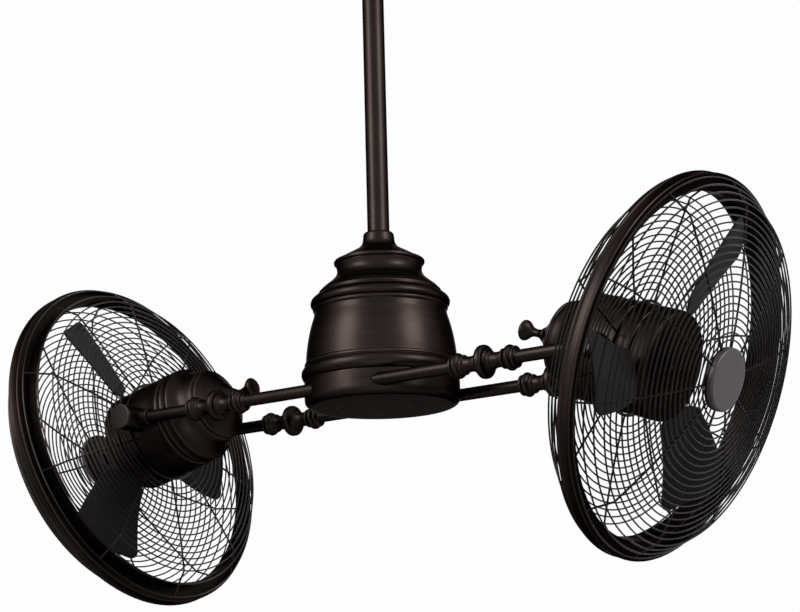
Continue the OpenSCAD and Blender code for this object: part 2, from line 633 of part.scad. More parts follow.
hanger_bracket();
canopy();
canopy_screws();
hanger_ball();
rod_pins();
downrod();
supply_cable();
coupling();
coupling_cover();
upper_dome();
bell_housing();
mounting_plate();
spindle();
spindle_bearings();
slip_ring();
brush_block();
spindle_nut();
arm_hub();
hub_cap();
arm_front_left();
arm_front_right();
arm_rear_left();
arm_rear_right();
socket_front_left();
socket_front_right();
socket_rear_left();
socket_rear_right();
pivot_caps();
left_rear_shell();
left_handle_knob();
left_motor_can();
left_stator();
left_motor_bearings();
left_rear_guard();
left_guard_band();
left_front_guard();
left_badge();
left_pivot_studs();
left_rotor();
left_blade_hub();
left_blade_1();
left_blade_2();
left_blade_3();
left_blade_screws();
right_rear_shell();
right_handle_knob();
right_motor_can();
right_stator();
right_motor_bearings();
right_rear_guard();
right_guard_band();
right_front_guard();
right_badge();
right_pivot_studs();
right_rotor();
right_blade_hub();
right_blade_1();
right_blade_2();
right_blade_3();
right_blade_screws();
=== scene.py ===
import bmesh
import bpy
import json
import math
from functools import partial
from mathutils import Euler, Matrix, Vector


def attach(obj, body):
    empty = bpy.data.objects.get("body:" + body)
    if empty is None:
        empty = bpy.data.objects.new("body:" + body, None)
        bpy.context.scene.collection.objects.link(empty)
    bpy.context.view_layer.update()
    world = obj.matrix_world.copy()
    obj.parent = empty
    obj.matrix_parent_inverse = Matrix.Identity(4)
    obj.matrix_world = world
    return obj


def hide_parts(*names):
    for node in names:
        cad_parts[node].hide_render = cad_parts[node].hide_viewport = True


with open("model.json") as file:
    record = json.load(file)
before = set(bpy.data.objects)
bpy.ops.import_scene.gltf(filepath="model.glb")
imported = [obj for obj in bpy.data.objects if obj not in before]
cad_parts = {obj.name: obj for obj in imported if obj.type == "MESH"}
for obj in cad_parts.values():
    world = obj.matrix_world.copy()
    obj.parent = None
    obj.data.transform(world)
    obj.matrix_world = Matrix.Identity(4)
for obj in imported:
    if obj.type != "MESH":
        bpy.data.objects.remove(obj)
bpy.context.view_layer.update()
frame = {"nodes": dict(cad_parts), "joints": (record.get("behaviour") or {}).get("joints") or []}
joints = {joint["name"]: joint for joint in frame["joints"]}
hubCentre = Vector(joints["hub_turn"]["pos_m"])
mm = 0.001


def placed(name, data):
    thing = bpy.data.objects.new(name, data)
    bpy.context.scene.collection.objects.link(thing)
    return thing


def moved(x=0.0, y=0.0, z=0.0):
    return Matrix.Translation(Vector((x, y, z)))


def turned(x=0.0, y=0.0, z=0.0):
    return Euler((x, y, z)).to_matrix().to_4x4()


# camera at the photograph's viewing angle
cameraView = {
    "place": (1.41229, -1.98324, -1.08531),
    "yaw": 34.8999,    # degrees to the left of +Y
    "pitch": 13.1292,  # degrees above level
    "roll": -1.5271,
    "lens": 93.85,
    "farthest": 60,
}


def makeCamera(view):
    yaw, pitch, roll = (math.radians(view[key]) for key in ("yaw", "pitch", "roll"))
    ahead = Vector((-math.sin(yaw) * math.cos(pitch), math.cos(yaw) * math.cos(pitch), math.sin(pitch)))
    levelRight = Vector((math.cos(yaw), math.sin(yaw), 0))
    levelUp = levelRight.cross(ahead)
    right = math.cos(roll) * levelRight + math.sin(roll) * levelUp
    up = math.cos(roll) * levelUp - math.sin(roll) * levelRight
    data = bpy.data.cameras.new("photoCamera")
    data.lens = view["lens"]
    data.clip_end = view["farthest"]
    camera = placed("photoCamera", data)
    camera.matrix_world = moved(*view["place"]) @ Matrix((right, up, -ahead)).transposed().to_4x4()
    bpy.context.scene.camera = camera


makeCamera(cameraView)
print("camera is set")

# pale studio: white paper all round, three soft lamps and a floor
studio = {
    "paper": (0.985, 0.985, 1.0),
    "fill": 0.4,               # world light on matt surfaces
    "floorHeight": -2.45,
    "floorRadius": 5.0,
    "floorTone": (0.62, 0.62, 0.63),
    "lamps": {
        # azimuth and height in degrees as seen from the hub, distance, size, watts
        "leftSoftbox": {"azimuth": -112, "height": 27, "away": 2.3, "size": (0.9, 1.3), "power": 40},
        "rightSoftbox": {"azimuth": -2, "height": 27, "away": 2.3, "size": (0.9, 1.3), "power": 40},
        "lowFill": {"azimuth": -60, "height": -35, "away": 2.6, "size": (1.6, 1.0), "power": 8},
    },
}


def newMaterial(name):
    material = bpy.data.materials.new(name)
    material.use_nodes = True
    material.node_tree.nodes.clear()
    return material, material.node_tree


def addNode(tree, kind, inputs=None, **settings):
    # an input gets a fixed value, or a link where another node's output is given
    node = tree.nodes.new(kind)
    for key, value in settings.items():
        setattr(node, key, value)
    for key, value in (inputs or {}).items():
        if isinstance(value, bpy.types.NodeSocket):
            tree.links.new(value, node.inputs[key])
        else:
            node.inputs[key].default_value = value
    return node


def shade(tree, kind, inputs=None, **settings):
    return addNode(tree, "ShaderNode" + kind, inputs, **settings).outputs


def arith(tree, operation, *values):
    return shade(tree, "Math", dict(enumerate(values)), operation=operation)[0]


def makeWorld(plan):
    world = bpy.data.worlds.new("paperSweep")
    bpy.context.scene.world = world
    world.use_nodes = True
    tree = world.node_tree
    tree.nodes.clear()
    path = shade(tree, "LightPath")
    mirrored = arith(tree, "MAXIMUM", path["Is Camera Ray"], path["Is Glossy Ray"])
    seen = arith(tree, "MAXIMUM", mirrored, path["Is Transmission Ray"])
    fill = shade(tree, "Background", {"Color": (1, 1, 1, 1), "Strength": plan["fill"]})[0]
    paper = shade(tree, "Background", {"Color": (*plan["paper"], 1), "Strength": 1.0})[0]
    shade(tree, "OutputWorld", {"Surface": shade(tree, "MixShader", {0: seen, 1: fill, 2: paper})[0]})


def makeLamps(plan):
    for name, lamp in plan["lamps"].items():
        data = bpy.data.lights.new(name, "AREA")
        data.shape = "RECTANGLE"
        data.size, data.size_y = lamp["size"]
        data.energy = lamp["power"]
        azimuth, height = math.radians(lamp["azimuth"]), math.radians(lamp["height"])
        toward = Vector((math.cos(azimuth) * math.cos(height), math.sin(azimuth) * math.cos(height),
                         math.sin(height)))
        light = placed(name, data)
        light.location = hubCentre + toward * lamp["away"]
        light.rotation_euler = toward.to_track_quat("Z", "Y").to_euler()


def makeFloor(plan):
    # the floor is only there from above, so a view from underneath isn't blocked
    disc = bmesh.new()
    bmesh.ops.create_circle(disc, cap_ends=True, radius=plan["floorRadius"], segments=96)
    bmesh.ops.translate(disc, verts=disc.verts, vec=(0, 0, plan["floorHeight"]))
    data = bpy.data.meshes.new("paleFloor")
    disc.to_mesh(data)
    disc.free()
    floor = placed("paleFloor", data)
    material, tree = newMaterial("paleFloorPaint")
    paint = shade(tree, "BsdfPrincipled", {"Base Color": (*plan["floorTone"], 1), "Roughness": 0.8})[0]
    clear = shade(tree, "BsdfTransparent")[0]
    below = shade(tree, "NewGeometry")["Backfacing"]
    shade(tree, "OutputMaterial", {"Surface": shade(tree, "MixShader", {0: below, 1: paint, 2: clear})[0]})
    data.materials.append(material)


bpy.context.scene.view_settings.view_transform = "Standard"
makeWorld(studio)
makeLamps(studio)
makeFloor(studio)
print("studio is set")

# finishes: their shared effects are two shader groups
noiseSpan = (0.3, 0.7)    # most of a noise texture's values lie between these
effects = {"streakDetail": 3.0, "streakRough": 0.6, "cloudScale": 11.0, "rubGlintScale": 60.0,
           "rubGlintUneven": (0.55, 1.15)}


def noise(tree, vector, scale, detail=2.0, **more):
    inputs = {"Vector": vector, "Scale": scale, "Detail": detail, **more}
    return shade(tree, "TexNoise", inputs)[0]


def remap(tree, value, source, target=(0.0, 1.0), **settings):
    inputs = {"Value": value, "From Min": source[0], "From Max": source[1], "To Min": target[0],
              "To Max": target[1]}
    return shade(tree, "MapRange", inputs, **settings)[0]


def mixed(tree, share, first, second):
    # each colour is three numbers or another node's output
    first, second = ((*colour, 1) if isinstance(colour, tuple) else colour for colour in (first, second))
    inputs = {"Factor": share, "A": first, "B": second}
    return shade(tree, "Mix", inputs, data_type="RGBA")["Result"]


def shaderGroup(name, inputs, outputs):
    # an input with no number is a vector
    group = bpy.data.node_groups.new(name, "ShaderNodeTree")
    for label, value in inputs.items():
        kind = "NodeSocketVector" if value is None else "NodeSocketFloat"
        socket = group.interface.new_socket(name=label, in_out="INPUT", socket_type=kind)
        if value is not None:
            socket.default_value = value
    for label in outputs:
        group.interface.new_socket(name=label, in_out="OUTPUT", socket_type="NodeSocketFloat")
    return group, group.nodes.new("NodeGroupInput").outputs, group.nodes.new("NodeGroupOutput").inputs


def makeTurnedGrain():
    # fine streaks left by turning: they run round the piece's axis, which is Z of the vector
    inputs = {"Vector": None, "Lines": 900.0, "Length": 9.0}
    group, given, made = shaderGroup("turnedGrain", inputs, ("Streak", "Cloud"))
    parts = shade(group, "SeparateXYZ", {0: given["Vector"]})
    flat = shade(group, "CombineXYZ", {"X": parts["X"], "Y": parts["Y"]})[0]
    radius = shade(group, "VectorMath", {0: flat}, operation="LENGTH")["Value"]
    across = arith(group, "ADD", parts["Z"], radius)
    streakAt = shade(group, "CombineXYZ", {
        "X": arith(group, "MULTIPLY", parts["X"], given["Length"]),
        "Y": arith(group, "MULTIPLY", parts["Y"], given["Length"]),
        "Z": arith(group, "MULTIPLY", across, given["Lines"])})[0]
    streak = noise(group, streakAt, 1.0, effects["streakDetail"], Roughness=effects["streakRough"])
    group.links.new(streak, made["Streak"])
    group.links.new(noise(group, given["Vector"], effects["cloudScale"]), made["Cloud"])
    return group


def makeEdgeCopperAndGlint():
    # where the dark finish shows copper along crisp convex edges, broken up by a little noise: partly
    # rubbed-through wear, partly a painted highlight along the ridges
    inputs = {"Vector": None, "Rubbed": 0.0, "Low": 0.25, "High": 0.9}
    group, given, made = shaderGroup("rubbedEdge", inputs, ("Mask",))
    grit = noise(group, given["Vector"], effects["rubGlintScale"])
    uneven = remap(group, grit, noiseSpan, effects["rubGlintUneven"])
    rubGlint = arith(group, "MULTIPLY", given["Rubbed"], uneven)
    mask = remap(group, rubGlint, (given["Low"], given["High"]), interpolation_type="SMOOTHSTEP")
    group.links.new(mask, made["Mask"])
    return group


turnedGrain = makeTurnedGrain()
rubbedEdge = makeEdgeCopperAndGlint()

bronzeLook = {
    "black": (0.0162, 0.0129, 0.0119),
    "brown": (0.0228, 0.0171, 0.0153),
    "cloud": (0.38, 0.66),     # span of the noise that goes from black to brown
    "streak": (0.86, 1.16),    # darkest and palest streak
    # copper on crisp edges: rubbed-through wear and a painted highlight along bead ridges and rims
    "copper": (0.105, 0.062, 0.048),
    "wear": 0.38,
    "edgeTint": (0.16, 0.14, 0.13),
    "rough": (0.31, 0.43),
    "grainLines": 900.0,
    "grainLength": 9.0,
    "grainDepth": 0.000018,
    "grainBump": 0.35,
}
paintLook = {"drift": 14.0, "tones": (0.35, 0.65), "depth": 0.00002, "bump": 0.3}


def skinned(material, tree, inputs):
    shade(tree, "OutputMaterial", {"Surface": shade(tree, "BsdfPrincipled", inputs)[0]})
    return material


def bronzeFinish(name, place, **changes):
    look = {**bronzeLook, **changes}
    material, tree = newMaterial(name)
    where = shade(tree, "TexCoord")["Object"]
    axis = {"Vector": where, "Location": place.to_translation(), "Rotation": place.to_euler()}
    centred = shade(tree, "Mapping", axis, vector_type="TEXTURE")[0]
    lines = {"Vector": centred, "Lines": look["grainLines"], "Length": look["grainLength"]}
    grain = shade(tree, "Group", lines, node_tree=turnedGrain)
    rubbed = shade(tree, "Attribute", attribute_name="rubbed")["Fac"]
    edge = shade(tree, "Group", {"Vector": centred, "Rubbed": rubbed}, node_tree=rubbedEdge)["Mask"]
    patina = mixed(tree, remap(tree, grain["Cloud"], look["cloud"]), look["black"], look["brown"])
    streaks = {0: patina, "Scale": remap(tree, grain["Streak"], noiseSpan, look["streak"])}
    brushed = shade(tree, "VectorMath", streaks, operation="SCALE")[0]
    # copper on crisp edges: rubbed-through wear and a painted highlight
    copperEdgedAndGlinting = mixed(tree, arith(tree, "MULTIPLY", edge, look["wear"]), brushed, look["copper"])
    bump = shade(tree, "Bump", {"Strength": look["grainBump"], "Distance": look["grainDepth"],
                                "Height": grain["Streak"]})[0]
    return skinned(material, tree, {
        "Metallic": 1.0, "Specular Tint": (*look["edgeTint"], 1), "Base Color": copperEdgedAndGlinting,
        "Roughness": remap(tree, grain["Streak"], noiseSpan, look["rough"]), "Normal": bump})


def paintFinish(name, dark, pale, rough, metallic=0.0, level=0.25, speckle=900.0):
    # painted or moulded surface: two close tones in a fine speckle, with the same speckle as texture
    material, tree = newMaterial(name)
    where = shade(tree, "TexCoord")["Object"]
    grit = noise(tree, where, speckle)
    drift = arith(tree, "MULTIPLY", noise(tree, where, paintLook["drift"]), 0.5)
    share = remap(tree, arith(tree, "MULTIPLY_ADD", grit, 0.5, drift), paintLook["tones"])
    bump = shade(tree, "Bump", {"Strength": paintLook["bump"], "Distance": paintLook["depth"],
                                "Height": grit})[0]
    return skinned(material, tree, {
        "Metallic": metallic, "Specular IOR Level": level, "Base Color": mixed(tree, share, dark, pale),
        "Roughness": remap(tree, grit, noiseSpan, rough), "Normal": bump})


def headPlace(side):
    # the head's own frame: Z outward along its spin axis, Y along its tilt axis
    outward = Vector(joints[side + "_spin"]["axis"])
    across = Vector((0, 1, 0))
    turn = Matrix((across.cross(outward), across, outward)).transposed().to_4x4()
    return moved(*joints[side + "_tilt"]["pos_m"]) @ turn


def axisPlace(origin, direction):
    return moved(*origin) @ Vector(direction).to_track_quat("Z", "Y").to_matrix().to_4x4()


heads = {side: headPlace(side) for side in ("left", "right")}
bronze = {
    "hub": bronzeFinish("bronzeHub", moved(*hubCentre)),
    "arm": bronzeFinish("bronzeArm", axisPlace(hubCentre, (1, 0, 0))),
    "socket": bronzeFinish("bronzeSocket", axisPlace(hubCentre, (0, 1, 0))),
    "cap": bronzeFinish("bronzeCap", axisPlace(hubCentre, (0, 1, 0)), black=(0.034, 0.029, 0.0275),
                        brown=(0.043, 0.0368, 0.035), wear=0.15),
    "left": bronzeFinish("bronzeLeftHead", heads["left"]),
    "right": bronzeFinish("bronzeRightHead", heads["right"]),
}
finishes = {
    "wire": paintFinish("cageWire", (0.0138, 0.0118, 0.0105), (0.0178, 0.0153, 0.0136), (0.26, 0.34),
                        metallic=1.0),
    "blade": paintFinish("bladePlastic", (0.0055, 0.0047, 0.0045), (0.0085, 0.0073, 0.007),
                         (0.55, 0.66), level=0.12),
    "steel": paintFinish("zincSteel", (0.42, 0.42, 0.43), (0.58, 0.58, 0.60), (0.28, 0.42),
                         metallic=1.0),
    "copper": paintFinish("windingCopper", (0.42, 0.19, 0.09), (0.60, 0.30, 0.16), (0.30, 0.45),
                          metallic=1.0),
    "plastic": paintFinish("mouldedBlack", (0.018, 0.018, 0.018), (0.03, 0.03, 0.03), (0.45, 0.6),
                           level=0.4),
    "badge": paintFinish("badgeSatin", (0.054, 0.0475, 0.049), (0.066, 0.058, 0.06), (0.42, 0.5),
                         metallic=0.6, level=0.4, speckle=1600.0),
    "rubber": paintFinish("cableJacket", (0.02, 0.02, 0.02), (0.035, 0.035, 0.035), (0.6, 0.75),
                          level=0.3),
}
for side, place in heads.items():
    label = side.capitalize()
    # drum and band: satin, with little edge copper (less wear and a milder painted highlight)
    bronze["drum" + label] = bronzeFinish("drumSatin" + label, place, rough=(0.4, 0.52), wear=0.1)
    bronze["band" + label] = bronzeFinish("bandSatin" + label, place, wear=0.1)
print("finishes are made")

# turned pieces: outlines spun round Z
# how sharp an edge must be to get its copper: rubbed-through wear and a painted highlight along ridges
edgeRubAndGlintShape = {
    "long": 6, "strip": 1.2,         # a straight side over this long gets this wide a strip at each end
    "bend": 0.12, "bendSpan": 0.7,   # turn per mm where rubbing starts, and how much more wears it through
    "shortest": 0.15,
}


def outlineOf(corners, steps):
    # (radius, height) corners in mm: each is rounded as far as its sides allow, or by a third number
    points = [Vector(corner[:2]) for corner in corners]
    line = [points[0]]
    for index in range(1, len(points) - 1):
        before, corner, after = points[index - 1:index + 2]
        legs = [before - corner, after - corner]
        limit = corners[index][2] if len(corners[index]) > 2 else 1e9
        start, end = (corner + leg.normalized() * min(leg.length / 2, limit) for leg in legs)
        for step in range(steps + 1):
            t = step / steps
            line.append(start * (1 - t) ** 2 + corner * 2 * t * (1 - t) + end * t * t)
    line.append(points[-1])
    kept = [line[0]]
    for point in line[1:]:
        gap = (point - kept[-1]).length
        if gap > edgeRubAndGlintShape["long"]:    # keeps a rubbed edge narrow
            share = edgeRubAndGlintShape["strip"] / gap
            kept += [kept[-1].lerp(point, share), point.lerp(kept[-1], share)]
        if gap > 0.01:
            kept.append(point)
    return kept


# how much edge copper each outline point gets: rubbed-through wear and a painted highlight on crisp convex
# edges
def edgeRubAndGlintAlong(line, closed):
    # 0 on flat or hollow stretches, 1 on a crisp convex edge
    count = len(line)
    amounts = []
    for index, point in enumerate(line):
        if not closed and index in (0, count - 1):
            amounts.append(0.0)
            continue
        into, out = point - line[index - 1], line[(index + 1) % count] - point
        turn = -math.atan2(into.cross(out), into.dot(out))
        bend = turn / max(0.5 * (into.length + out.length), edgeRubAndGlintShape["shortest"])
        amounts.append(min(max((bend - edgeRubAndGlintShape["bend"]) / edgeRubAndGlintShape["bendSpan"], 0.0), 1.0))
    return amounts


def lathe(corners, inner=(), sides=128, steps=5):
    # outer corners run from the front or top to the back, inner ones return; a loop closes a wall
    line = outlineOf(corners, steps)
    closed = bool(inner)
    if closed:
        line += [Vector(point[:2]) for point in inner]
    shape = bmesh.new()
    layer = shape.verts.layers.float.new("rubbed")
    rings = []
    for point, amount in zip(line, edgeRubAndGlintAlong(line, closed)):
        radius, height = point.x * mm, point.y * mm
        if radius < 1e-7:
            ring = [shape.verts.new((0, 0, height))] * sides
        else:
            ring = [shape.verts.new((radius * math.cos(angle), radius * math.sin(angle), height))
                    for angle in (2 * math.pi * k / sides for k in range(sides))]
        for vert in ring:
            vert[layer] = amount
        rings.append(ring)
    pairs = list(zip(rings, rings[1:])) + ([(rings[-1], rings[0])] if closed else [])
    for upper, lower in pairs:
        for k in range(sides):
            after = (k + 1) % sides
            corner = dict.fromkeys((upper[k], lower[k], lower[after], upper[after]))
            if len(corner) > 2:
                shape.faces.new(corner)
    return shape


def shadeSmooth(piece, crease=34):
    piece.data.shade_smooth()
    piece.data.set_sharp_from_angle(angle=math.radians(crease))


def handOver(piece, body, replaced, crease):
    shadeSmooth(piece, crease)
    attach(piece, body)
    if replaced:
        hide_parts(*replaced)
    return piece


def meshOf(name, shape, material):
    data = bpy.data.meshes.new(name)
    shape.to_mesh(data)
    shape.free()
    data.materials.append(material)
    return data


def pieceFrom(shape, name, place, material, body, replaced, crease=34):
    shape.transform(place)
    piece = placed(name, meshOf(name, shape, material))
    return handOver(piece, body, replaced, crease)


def addShape(whole, part):
    # merges one bmesh shape into another
    spare = bpy.data.meshes.new("spare")
    part.to_mesh(spare)
    part.free()
    whole.from_mesh(spare)
    bpy.data.meshes.remove(spare)


def joined(shapes):
    whole = bmesh.new()
    whole.verts.layers.float.new("rubbed")
    for shape in shapes:
        addShape(whole, shape)
    return whole


def baked(piece):
    # the modifiers' result becomes the piece's own mesh
    ready = piece.evaluated_get(bpy.context.evaluated_depsgraph_get())
    data = bpy.data.meshes.new_from_object(ready)
    piece.modifiers.clear()
    spare, piece.data = piece.data, data
    bpy.data.meshes.remove(spare)
    data.name = piece.name


def combine(piece, shapes, operation):
    # joins bmesh shapes to a piece or cuts them out of it
    for shape in shapes:
        tool = placed("tool", meshOf("tool", shape, piece.data.materials[0]))
        data = tool.data
        change = piece.modifiers.new("change", "BOOLEAN")
        change.operation = operation
        change.solver = "EXACT"
        change.object = tool
        baked(piece)
        bpy.data.objects.remove(tool)
        bpy.data.meshes.remove(data)
    shadeSmooth(piece)


def rod(radius, low, high, place=Matrix(), sides=64, soft=(0.01, 0.01)):
    # soft rounds the edges at its low and high end
    shape = lathe([(0, high), (radius, high, soft[1]), (radius, low, soft[0]), (0, low)], sides=sides)
    shape.transform(place)
    return shape


# ceiling canopy and rod in mm: the canopy's heights from the ceiling, the rod's from the arms' axes
canopyShape = {
    "outside": [(70, -0.3), (70, -34, 3), (68.5, -38), (62, -43.5, 3), (61.4, -50), (58, -59), (52, -67),
                (41, -74), (27.35, -78.6), (21.35, -82, 1.5), (13.75, -82, 0.6)],
    "inside": [(13.75, -80.6), (19, -80.4), (41, -71.6), (55, -60), (59, -48), (59.6, -42),
               (66, -36), (68.4, -33), (68.4, -0.3)],
}
rodSize = {"radius": 13.35, "wall": 2.8, "low": 126.3, "high": 583.3, "chamfer": 0.6}
aboveArms = moved(z=hubCentre.z)


def makeCanopy():
    shell = lathe(canopyShape["outside"], canopyShape["inside"])
    pieceFrom(shell, "canopyShell", Matrix(), bronze["hub"], "ceiling_mount", ["canopy"])
    radius, low, high, chamfer = (rodSize[key] for key in ("radius", "low", "high", "chamfer"))
    bore = radius - rodSize["wall"]
    tube = lathe([(radius - chamfer, high), (radius, high - chamfer, 0.4), (radius, low, 0.4), (bore, low)],
                 [(bore, low + 0.1), (bore, high)], sides=96)
    pieceFrom(tube, "downrodTube", aboveArms, bronze["hub"], "ceiling_mount", ["downrod"])


makeCanopy()

# fixed housing over the hub, with heights in mm above the arms' axes
coverShape = {
    "outside": [(13.65, 197), (16.6, 197, 1.2), (18.6, 194.6), (18.9, 190), (19.4, 185), (21.6, 180.6),
                (26, 176.6), (33.5, 172.6), (42, 168), (49, 163.8), (52.6, 162.4, 0.8), (54.7, 161.2, 1.0),
                (54.7, 158.4, 1.0), (53.4, 157.2, 0.6), (51, 157.2, 0.3)],
    "inside": [(47, 160.6), (39.5, 165), (31, 169.5), (18.0, 176), (13.65, 178)],
}
domeShape = {
    "outside": [(48, 157), (52.4, 157, 0.6), (51.4, 152.6), (50.9, 148), (52.4, 143.4), (55.6, 139),
                (60.5, 134.6), (66, 130.4), (70.2, 126.8), (71.6, 124.6, 1.2), (73.7, 123.2, 0.9),
                (73.7, 119.1, 0.7), (70, 119.1, 0.3)],
    "inside": [(68, 122), (63.5, 127.5), (58, 132), (53, 136.5), (49.6, 141.5), (48, 147)],
}
bellShape = {
    "outside": [(70, 118.9), (75, 118.9, 1.2), (79.2, 116.6), (82.6, 113.6), (84, 109.6), (83, 105.6, 2),
                (80.2, 104.4, 0.5), (79.9, 103.6, 0.3), (81.0, 103, 0.5), (81.0, 100.9, 0.6),
                (79.7, 99.7, 0.4), (79.2, 98.4, 0.4), (79.6, 95.6), (80.4, 91.5), (82.2, 86), (84.7, 77),
                (87, 66), (88.7, 55), (89.9, 44), (90.3, 36.6, 0.8), (91.7, 35.6, 0.7), (92.2, 33.4, 0.7),
                (91.0, 31.8, 0.8), (93.4, 29.6), (95.8, 25.8), (95.8, 20.4), (93.6, 16.4), (91, 14.4, 0.5)],
    "inside": [(90, 16.4), (92, 22), (88.4, 31.8), (86.4, 52), (82.6, 76), (77.6, 93), (77, 99),
               (80, 106), (79.4, 110), (70, 116.4)],
}


def makeHousing():
    for name, shape, replaced in (("couplingCover", coverShape, "coupling_cover"),
                                  ("upperDome", domeShape, "upper_dome"),
                                  ("bellHousing", bellShape, "bell_housing")):
        pieceFrom(lathe(shape["outside"], shape["inside"], sides=160), name, aboveArms,
                  bronze["hub"], "ceiling_mount", [replaced])


makeHousing()
print("canopy, rod and housing are built")

# turning drum: a shell, the casting that holds the arms and a lid with two key notches
drumShape = {
    "outside": [(88.5, 13.4), (92.5, 13.4, 0.5), (92.5, -8.6, 2.5), (91.2, -13, 4), (85.5, -16.4, 3),
                (48.6, -16.4, 0.3), (48.6, -13.8, 0.1), (44.5, -13.8, 0.1), (44.5, -12.4, 0.1)],
    "inside": [(88.5, -12.4)],
}
drumCore = {"bar": 27, "block": 11.5, "low": -12.6, "high": 11.0, "reach": 84, "tube": 26, "top": 42,
            "bearing": 21, "through": 17, "lowSeat": 4, "highSeat": 30, "flat": 3,
            "trim": 86, "past": 140, "below": -40, "above": 60}    # the last three: how far the cuts run out
armLine = {"radius": 7.5, "aside": 73.7, "gap": 0.7, "fit": 0.1}
capShape = {"radius": 48.2, "low": -16.4, "high": -14.0, "edges": (0.7, 0.2), "notch": 2.6,
            "notchAt": 47.4, "notchDepth": 30}


def alongX(aside, side=1):
    # a frame on an arm's axis, with Z pointing outward
    return moved(y=aside * mm, z=hubCentre.z) @ turned(y=side * math.pi / 2)


def boxShape(low, high):
    shape = bmesh.new()
    bmesh.ops.create_cube(shape, size=1)
    for vert in shape.verts:
        vert.co = Vector([(low[k] + high[k]) / 2 + vert.co[k] * (high[k] - low[k]) for k in range(3)]) * mm
    return shape


def armBores(clearance):
    past = drumCore["past"]
    return [rod(armLine["radius"] + clearance, -past, past, alongX(side * armLine["aside"]))
            for side in (-1, 1)]


def makeCasting():
    core = drumCore
    low, high, through, above, below = (core[key] for key in ("low", "high", "through", "above", "below"))
    tube = lathe([(through, core["top"]), (core["tube"], core["top"], 0.8), (core["tube"], low, 0.4),
                  (through, low)], [(through, low + 0.2), (through, core["top"] - 0.2)], sides=96)
    casting = pieceFrom(tube, "hubCasting", aboveArms, bronze["hub"], "hub", [])
    wide = armLine["aside"] + core["block"]
    half = math.sqrt(core["reach"] ** 2 - (armLine["aside"] - core["flat"]) ** 2)
    bars = [boxShape((-core["bar"], -wide, low), (core["bar"], wide, high))]
    for side in (-1, 1):
        near, far = sorted((side * (armLine["aside"] - core["block"]), side * wide))
        bars.append(boxShape((-half, near, low), (half, far, high)))
    for bar in bars:
        bar.transform(aboveArms)
    combine(casting, bars, "UNION")
    rim, past = core["trim"], core["past"]
    trim = lathe([(past, above), (past, -above, 0.1), (rim, -above)], [(rim, above)], sides=96)
    trim.transform(aboveArms)
    cuts = [trim, rod(through, below, above, aboveArms, 96)] + armBores(armLine["fit"])
    cuts += [rod(core["bearing"], below, core["lowSeat"], aboveArms, 96),
             rod(core["bearing"], core["highSeat"], above, aboveArms, 96)]
    combine(casting, cuts, "DIFFERENCE")


def makeDrum():
    drum = pieceFrom(lathe(drumShape["outside"], drumShape["inside"], sides=160), "hubDrum", aboveArms,
                     bronze["hub"], "hub", ["arm_hub"])
    combine(drum, armBores(armLine["gap"]), "DIFFERENCE")
    makeCasting()
    cap = capShape
    plate = rod(cap["radius"], cap["low"], cap["high"], sides=128, soft=cap["edges"])
    lid = pieceFrom(plate, "hubCap", aboveArms, bronze["hub"], "hub", ["hub_cap"])
    spots = [moved(side * cap["notchAt"] * mm, 0, hubCentre.z) for side in (-1, 1)]
    combine(lid, [rod(cap["notch"], -cap["notchDepth"], 0, spot, 32) for spot in spots], "DIFFERENCE")


makeDrum()

# arms and pivot sockets
finial = {
    "middle": 192.6,
    # distance from the disc's middle and radius, mirrored to the other side
    "disc": [(2.4, 19.2, 1.6), (4.3, 17.8, 1.2)],
    "half": [(4.9, 13.2, 0.8), (7.4, 10.3), (8.4, 10.1, 0.3), (8.6, 11.3, 0.5), (10.6, 11.3, 0.5),
             (11.0, 9.7, 0.3), (17.5, 8.7), (23.8, 9.3), (24.8, 9.9, 0.2), (25.2, 11.6, 0.6),
             (27.4, 11.6, 0.6), (27.8, 10.2, 0.3), (29.6, 11.2), (31.2, 13.6), (34.5, 15.1), (37.4, 13.7),
             (38.9, 10.8, 0.4), (39.5, 12.5, 0.5), (42.1, 12.6, 0.6), (43.0, 9.2, 0.6), (44.2, 7.5, 0.5)],
}
armEnds = {"inner": 20, "outer": 318}
socketShape = {"pivot": 329, "radius": 15.5, "near": 63.2, "far": 98.2, "collar": 10.5, "collarFrom": 27.5,
               "collarLip": 8, "bore": 5.05, "boreEnd": 95.2, "edges": (0.7, 0.5),
               "capNear": 98.3, "capFar": 100.7, "capEdges": (0.2, 0.8)}


def finialOutline():
    # (radius, distance) from the outer end of the arm to the inner one
    ends, size, middle = armEnds, armLine["radius"], finial["middle"]
    half = [(radius, gap, *fillet) for gap, radius, *fillet in finial["disc"] + finial["half"]]
    outer = [(r, middle + d, *f) for r, d, *f in reversed(half)]
    inner = [(r, middle - d, *f) for r, d, *f in half]
    return ([(0, ends["outer"]), (size, ends["outer"], 0.4)] + outer + inner
            + [(size, ends["inner"], 0.4), (0, ends["inner"])])


def acrossHead(row):
    # Z along the tilt axis, toward the front (-1) or the rear (1)
    return turned(x=-row * math.pi / 2)


def pivotPlace(side, row):
    return moved(side * socketShape["pivot"] * mm, 0, hubCentre.z) @ acrossHead(row)


